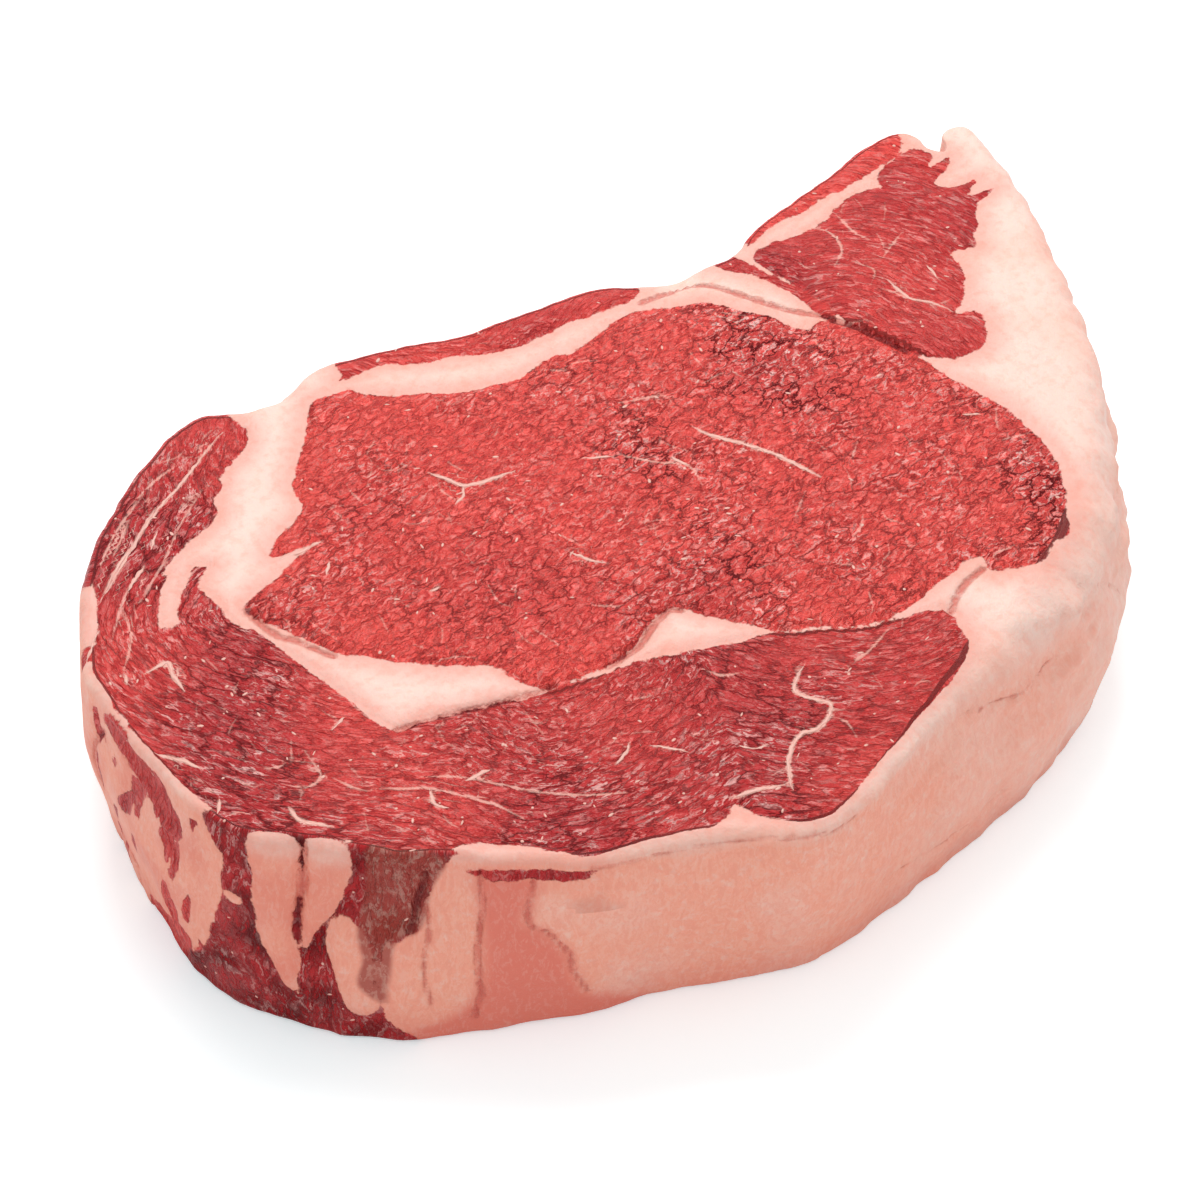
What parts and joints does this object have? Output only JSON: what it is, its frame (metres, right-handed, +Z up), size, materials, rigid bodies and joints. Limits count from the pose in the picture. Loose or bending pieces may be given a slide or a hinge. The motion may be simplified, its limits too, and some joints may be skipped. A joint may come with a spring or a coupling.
{
  "type": "raw ribeye steak",
  "caption": "Thick raw boneless ribeye steak lying flat, with a marbled eye muscle, a curved cap muscle, fat seams and a rounded fat cap along one side.",
  "frame": {"origin": "bottom centre of the steak's box, on the surface that it lies on", "axes": "+X along the steak towards its pointed tail, +Y towards the side away from the fat cap, +Z up through its thickness"},
  "size_m": [0.1924, 0.1292, 0.0366],
  "materials": {
    "meat": null
  },
  "bodies": {
    "root": {"steak": "meat"}
  },
  "joints": []
}
